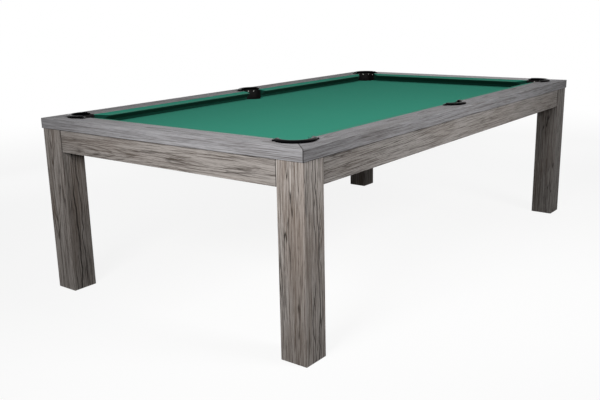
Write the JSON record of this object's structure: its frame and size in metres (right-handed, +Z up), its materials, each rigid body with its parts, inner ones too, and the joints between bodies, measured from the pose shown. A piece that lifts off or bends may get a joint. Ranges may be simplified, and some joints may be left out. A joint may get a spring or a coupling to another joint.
{
  "type": "convertible billiard table",
  "caption": "Slate-bed pool table made like a dining table: square legs, flush aprons, mitred oak top rail, cloth cushions and drop pockets.",
  "frame": {"origin": "on the floor under the middle of the table, midway between the four legs", "axes": "+X along the table's length, +Y across its width, +Z up; the front is the long side at -Y"},
  "size_m": [2.565, 1.448, 0.7981],
  "materials": {
    "rail_oak": "weathered grey oak, brushed and matt",
    "leg_oak": "weathered grey oak, brushed and matt",
    "apron_oak": "weathered grey oak, brushed and matt",
    "rail_cloth": "green worsted cloth, matt",
    "bed_cloth": "green worsted cloth, matt",
    "cushion_rubber": "matt",
    "facing_rubber": "matt",
    "feather_wood": "planed softwood",
    "backing_wood": "raw board",
    "frame_wood": "planed hardwood, raw",
    "slate": "honed",
    "pocket_iron": "black, gloss",
    "pocket_screw": "black, satin",
    "pocket_leather": "black, satin",
    "rivet_steel": "nickel plated, satin",
    "zinc_steel": "zinc plated, satin",
    "insert_steel": "zinc plated, satin",
    "angle_steel": "black powder coat, matte",
    "glide_plastic": "black, matt"
  },
  "bodies": {
    "table": {"angle_bolts": "zinc_steel", "apron_front": "apron_oak", "apron_left": "apron_oak", "apron_rear": "apron_oak", "apron_right": "apron_oak", "bed_cloth": "bed_cloth", "cushion_cloth_front_left": "rail_cloth", "cushion_cloth_front_right": "rail_cloth", "cushion_cloth_left": "rail_cloth", "cushion_cloth_rear_left": "rail_cloth", "cushion_cloth_rear_right": "rail_cloth", "cushion_cloth_right": "rail_cloth", "cushion_facings": "facing_rubber", "cushion_rubber_front": "cushion_rubber", "cushion_rubber_left": "cushion_rubber", "cushion_rubber_rear": "cushion_rubber", "cushion_rubber_right": "cushion_rubber", "end_members": "frame_wood", "feather_strips": "feather_wood", "foot_inserts": "insert_steel", "leg_front_left": "leg_oak", "leg_front_right": "leg_oak", "leg_rear_left": "leg_oak", "leg_rear_right": "leg_oak", "long_beam_front": "frame_wood", "long_beam_rear": "frame_wood", "pocket_iron_front_left": "pocket_iron", "pocket_iron_front_right": "pocket_iron", "pocket_iron_front_side": "pocket_iron", "pocket_iron_rear_left": "pocket_iron", "pocket_iron_rear_right": "pocket_iron", "pocket_iron_rear_side": "pocket_iron", "pocket_leather_front_left": "pocket_leather", "pocket_leather_front_right": "pocket_leather", "pocket_leather_front_side": "pocket_leather", "pocket_leather_rear_left": "pocket_leather", "pocket_leather_rear_right": "pocket_leather", "pocket_leather_rear_side": "pocket_leather", "pocket_rivets": "rivet_steel", "pocket_screws": "pocket_screw", "rail_bolts": "zinc_steel", "seam_members": "frame_wood", "slate_backing": "backing_wood", "slate_left": "slate", "slate_middle": "slate", "slate_right": "slate", "slate_screws": "zinc_steel", "steel_angles": "angle_steel", "top_rail_front": "rail_oak", "top_rail_left": "rail_oak", "top_rail_rear": "rail_oak", "top_rail_right": "rail_oak"},
    "glide_front_left": {"foot_glide_front_left": "glide_plastic"},
    "stud_front_left": {"foot_stud_front_left": "zinc_steel"},
    "glide_front_right": {"foot_glide_front_right": "glide_plastic"},
    "stud_front_right": {"foot_stud_front_right": "zinc_steel"},
    "glide_rear_left": {"foot_glide_rear_left": "glide_plastic"},
    "stud_rear_left": {"foot_stud_rear_left": "zinc_steel"},
    "glide_rear_right": {"foot_glide_rear_right": "glide_plastic"},
    "stud_rear_right": {"foot_stud_rear_right": "zinc_steel"}
  },
  "joints": [
    {"name": "glide_front_left_level", "type": "slide", "parent": "table", "child": "glide_front_left", "axis": [0, 0, -1], "range_m": [0, 0.012]},
    {"name": "stud_front_left_turn", "type": "hinge", "parent": "glide_front_left", "child": "stud_front_left", "pos_m": [-1.22, -0.6615, 0.01], "axis": [0, 0, -1], "range_deg": [0, 2880]},
    {"name": "glide_front_right_level", "type": "slide", "parent": "table", "child": "glide_front_right", "axis": [0, 0, -1], "range_m": [0, 0.012]},
    {"name": "stud_front_right_turn", "type": "hinge", "parent": "glide_front_right", "child": "stud_front_right", "pos_m": [1.22, -0.6615, 0.01], "axis": [0, 0, -1], "range_deg": [0, 2880]},
    {"name": "glide_rear_left_level", "type": "slide", "parent": "table", "child": "glide_rear_left", "axis": [0, 0, -1], "range_m": [0, 0.012]},
    {"name": "stud_rear_left_turn", "type": "hinge", "parent": "glide_rear_left", "child": "stud_rear_left", "pos_m": [-1.22, 0.6615, 0.01], "axis": [0, 0, -1], "range_deg": [0, 2880]},
    {"name": "glide_rear_right_level", "type": "slide", "parent": "table", "child": "glide_rear_right", "axis": [0, 0, -1], "range_m": [0, 0.012]},
    {"name": "stud_rear_right_turn", "type": "hinge", "parent": "glide_rear_right", "child": "stud_rear_right", "pos_m": [1.22, 0.6615, 0.01], "axis": [0, 0, -1], "range_deg": [0, 2880]}
  ],
  "couplings": [
    {"joint": "stud_front_left_turn", "follows": "glide_front_left_level", "rad_per_m": 4188.8},
    {"joint": "stud_front_right_turn", "follows": "glide_front_right_level", "rad_per_m": 4188.8},
    {"joint": "stud_rear_left_turn", "follows": "glide_rear_left_level", "rad_per_m": 4188.8},
    {"joint": "stud_rear_right_turn", "follows": "glide_rear_right_level", "rad_per_m": 4188.8}
  ]
}
